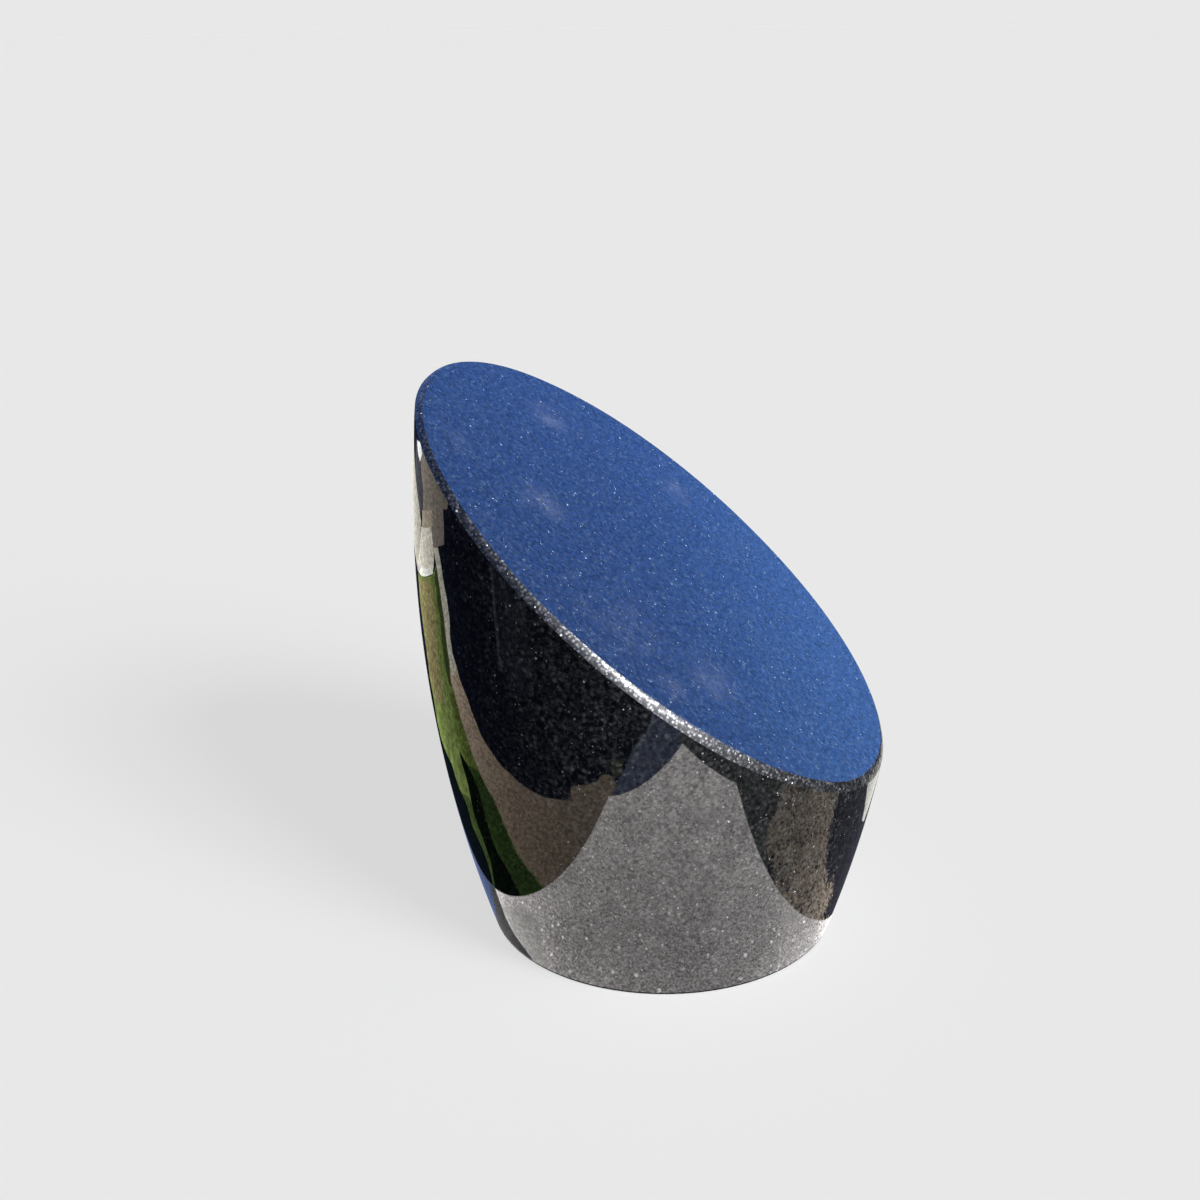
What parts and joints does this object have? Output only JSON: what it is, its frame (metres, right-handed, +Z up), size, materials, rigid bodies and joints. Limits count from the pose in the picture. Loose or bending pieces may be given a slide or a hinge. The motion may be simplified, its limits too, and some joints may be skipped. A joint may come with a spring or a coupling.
{
  "type": "headstone",
  "caption": "Polished black granite headstone, a barrel-shaped turned stone cut off by a slanting elliptical face with a ground edge, standing on its flat foot.",
  "frame": {"origin": "centre of the round underside, on the surface that the stone stands on", "axes": "+Z up along the axis of the turned side; the face slopes down toward -Y, where a visitor stands, and its highest point is at +Y; the stone is the same on both sides of the YZ plane"},
  "size_m": [0.2992, 0.2886, 0.3503],
  "materials": {
    "polished_granite": "mirror-polished side and face, fine ground arris round the face, sawn underside"
  },
  "bodies": {
    "root": {"headstone": "polished_granite"}
  },
  "joints": []
}
